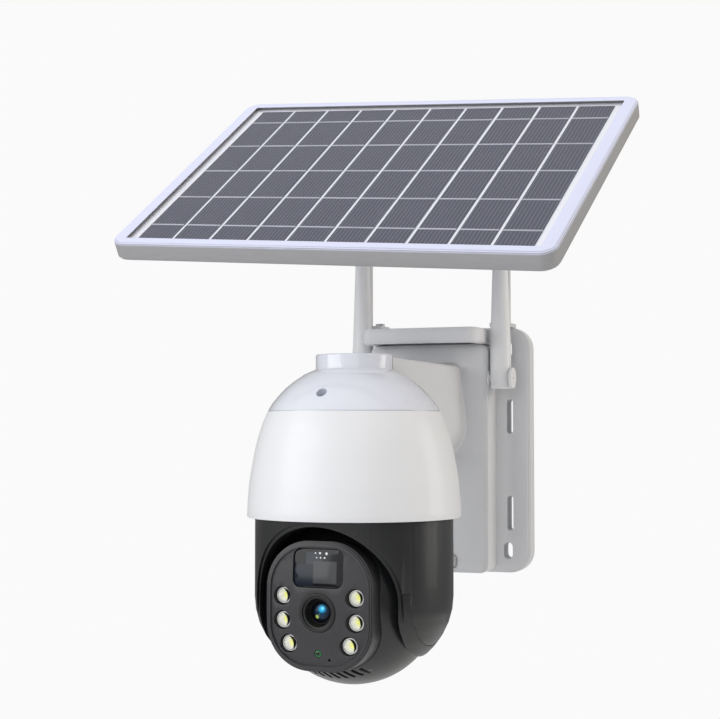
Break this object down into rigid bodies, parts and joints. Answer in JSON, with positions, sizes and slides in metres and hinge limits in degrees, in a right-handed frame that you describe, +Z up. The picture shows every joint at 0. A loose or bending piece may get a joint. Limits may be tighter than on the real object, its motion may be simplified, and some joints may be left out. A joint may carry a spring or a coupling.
{
  "type": "solar-powered security camera",
  "caption": "Wall-mounted pan and tilt security camera on a short arm, with a battery box, folding antennas and an adjustable solar panel above on a ball mount.",
  "frame": {"origin": "centre of the back plate's rear face, on the wall plane", "axes": "+Z up, +Y into the wall, the camera looks along -Y, +X is to the right as seen by a viewer facing the wall"},
  "size_m": [0.2638, 0.2101, 0.3377],
  "materials": {
    "white_plastic": "satin",
    "gloss_white": "gloss",
    "grey_plastic": "satin",
    "black_plastic": "satin",
    "dark_plate": "satin",
    "gloss_black": "gloss",
    "steel": "satin",
    "painted_steel": "satin",
    "frame_aluminium": "satin",
    "glass": "gloss",
    "lens_glass": "gloss",
    "cell": "satin",
    "backsheet": "matte",
    "rubber": "matte",
    "grey_rubber": "matte",
    "circuit": "satin",
    "battery": "satin",
    "gear_plastic": "satin",
    "brass": "satin",
    "lamp": "gloss",
    "lamp_chip": "gloss",
    "motor_metal": "satin"
  },
  "bodies": {
    "wall_unit": {"back_plate": "white_plastic", "box_shell": "white_plastic", "brim_cap": "white_plastic", "box_seal": "rubber", "box_screws": "steel", "battery_tray": "black_plastic", "battery_cells": "battery", "control_board": "circuit", "charge_port": "steel", "antenna_axles": "white_plastic", "antenna_nuts": "steel", "panel_bracket": "painted_steel", "bracket_screws": "steel", "camera_arm": "white_plastic", "arm_screws": "steel", "hood_skirt": "white_plastic", "hood_cap": "gloss_white", "cap_screws": "steel", "pan_board": "circuit", "pan_base": "grey_plastic", "pan_motor": "motor_metal"},
    "reset": {"reset_button": "grey_plastic"},
    "port_flap": {"port_cover": "grey_rubber"},
    "left_antenna": {"antenna_left": "white_plastic", "antenna_left_coil": "brass"},
    "right_antenna": {"antenna_right": "white_plastic", "antenna_right_coil": "brass"},
    "stud": {"ball_stud": "steel", "stud_nut": "steel"},
    "liner": {"ball_liner": "gear_plastic"},
    "panel": {"ball_socket": "black_plastic", "clamp_ring": "black_plastic", "socket_screws": "steel", "panel_frame": "frame_aluminium", "panel_back": "backsheet", "cell_backing": "backsheet", "solar_cells": "cell", "cell_ribbons": "steel", "panel_glass": "glass", "junction_box": "black_plastic"},
    "pan_head": {"pan_gear": "gear_plastic", "pan_retainer": "black_plastic", "fork": "black_plastic", "side_covers": "black_plastic", "tilt_pivot": "steel", "tilt_sun_gear": "gear_plastic"},
    "pan_drive": {"pan_pinion": "gear_plastic"},
    "camera_ball": {"tilt_motor": "motor_metal", "ball_front": "black_plastic", "ball_rear": "black_plastic", "face_plate": "dark_plate", "motion_window": "gloss_black", "lens_barrel": "black_plastic", "lens_glass": "lens_glass", "led_reflectors": "lamp", "led_chips": "lamp_chip", "lamp_board": "circuit", "image_board": "circuit", "speaker": "black_plastic"},
    "tilt_drive": {"tilt_pinion": "gear_plastic"}
  },
  "joints": [
    {"name": "pan", "type": "hinge", "parent": "wall_unit", "child": "pan_head", "pos_m": [0, -0.154, 0], "axis": [0, 0, 1], "range_deg": [-175, 175]},
    {"name": "pan_pinion_turn", "type": "hinge", "parent": "wall_unit", "child": "pan_drive", "pos_m": [0, -0.1828, 0], "axis": [0, 0, 1], "range_deg": [-876, 876]},
    {"name": "tilt", "type": "hinge", "parent": "pan_head", "child": "camera_ball", "pos_m": [0, -0.154, -0.0742], "axis": [0.9993, -0.0384, 0], "range_deg": [-5, 85]},
    {"name": "tilt_pinion_turn", "type": "hinge", "parent": "camera_ball", "child": "tilt_drive", "pos_m": [0.00064, -0.13721, -0.0742], "axis": [0.9993, -0.0384, 0], "range_deg": [-13, 213]},
    {"name": "antenna_left_fold", "type": "hinge", "parent": "wall_unit", "child": "left_antenna", "pos_m": [-0.044, -0.026, 0.0428], "axis": [1, 0, 0], "range_deg": [0, 90]},
    {"name": "antenna_right_fold", "type": "hinge", "parent": "wall_unit", "child": "right_antenna", "pos_m": [0.044, -0.026, 0.0428], "axis": [1, 0, 0], "range_deg": [0, 90]},
    {"name": "panel_turn", "type": "hinge", "parent": "wall_unit", "child": "stud", "pos_m": [0, -0.1011, 0.1361], "axis": [0, -0.5736, 0.8192], "range_deg": [-6, 6]},
    {"name": "panel_tilt", "type": "hinge", "parent": "stud", "child": "liner", "pos_m": [0, -0.1011, 0.1361], "axis": [1, 0, 0], "range_deg": [-20, 20]},
    {"name": "panel_roll", "type": "hinge", "parent": "liner", "child": "panel", "pos_m": [0, -0.1011, 0.1361], "axis": [0.0815, 0.813, 0.5765], "range_deg": [-6, 6]},
    {"name": "port_cover_open", "type": "hinge", "parent": "wall_unit", "child": "port_flap", "pos_m": [0.003, -0.032, -0.0702], "axis": [1, 0, 0], "range_deg": [0, 85]},
    {"name": "reset_press", "type": "slide", "parent": "wall_unit", "child": "reset", "axis": [0, 1, 0], "range_m": [0, 0.0008], "stiffness_N_per_m": 600, "springref_m": -0.0005}
  ],
  "couplings": [
    {"joint": "pan_pinion_turn", "follows": "pan", "ratio": -5},
    {"joint": "tilt_pinion_turn", "follows": "tilt", "ratio": 2.5}
  ]
}
